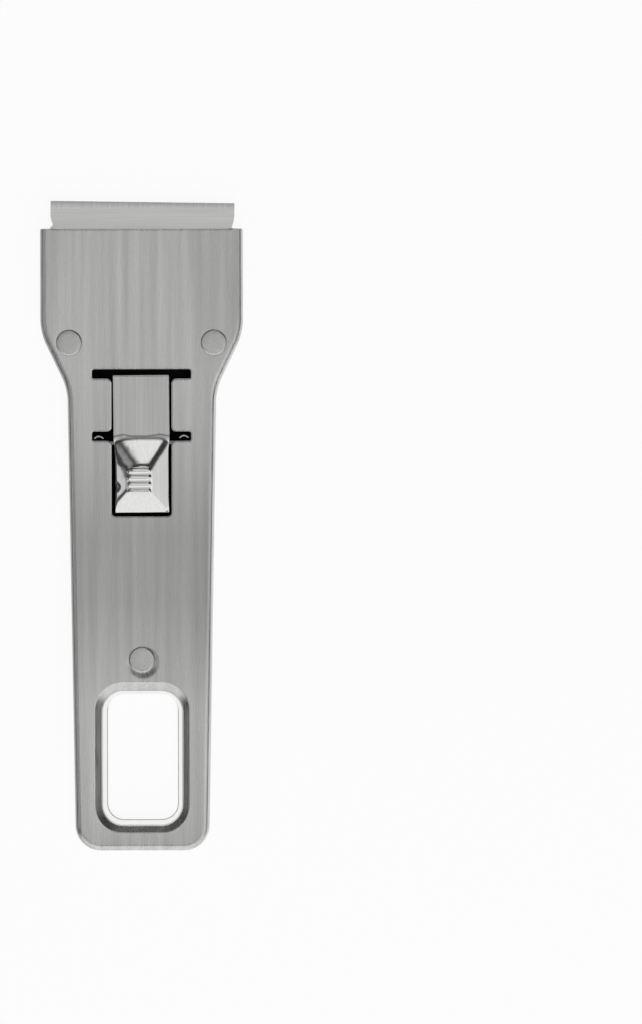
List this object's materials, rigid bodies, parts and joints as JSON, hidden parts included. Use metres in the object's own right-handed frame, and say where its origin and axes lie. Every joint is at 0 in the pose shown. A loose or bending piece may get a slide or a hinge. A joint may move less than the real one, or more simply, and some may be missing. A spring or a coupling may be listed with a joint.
{
  "type": "ceramic hob scraper",
  "caption": "All-metal scraper for glass ceramic hobs: a replaceable blade on a sliding carrier, worked by a ribbed thumb pad, in a riveted flat handle with a finger hole.",
  "frame": {"origin": "middle of the overall box, blade included, on the plane of the flat back", "axes": "+X to the right of someone looking at the face with the blade away from them, +Y along the handle towards the blade, +Z out of the face"},
  "size_m": [0.044, 0.141, 0.006],
  "materials": {
    "shell_steel": "stainless sheet, brushed lengthwise",
    "rivet_steel": "matte tumbled stainless",
    "spacer_steel": "turned tube",
    "carrier_steel": "dark phosphated strip",
    "spring_steel": "spring stainless, brushed tongue and polished drawn pad",
    "blade_steel": "rolled carbon steel with a ground edge"
  },
  "bodies": {
    "body": {"front_shell": "shell_steel", "back_shell": "shell_steel", "rivet_left": "rivet_steel", "rivet_right": "rivet_steel", "rivet_handle": "rivet_steel", "spacer_left": "spacer_steel", "spacer_right": "spacer_steel", "spacer_handle": "spacer_steel"},
    "slider": {"blade_carrier": "carrier_steel", "clamp_plate": "carrier_steel", "carrier_rivet_left": "rivet_steel", "carrier_rivet_right": "rivet_steel"},
    "thumb": {"thumb_tongue": "spring_steel"},
    "blade": {"blade": "blade_steel"}
  },
  "joints": [
    {"name": "slider_travel", "type": "slide", "parent": "body", "child": "slider", "axis": [0, 1, 0], "range_m": [0, 0.0135]},
    {"name": "pad_press", "type": "hinge", "parent": "slider", "child": "thumb", "pos_m": [0, 0.03268, 0.00267], "axis": [1, 0, 0], "range_deg": [0, 3.5], "stiffness_Nm_per_rad": 2},
    {"name": "blade_change", "type": "slide", "parent": "slider", "child": "blade", "axis": [0, 1, 0], "range_m": [0, 0.022]}
  ]
}
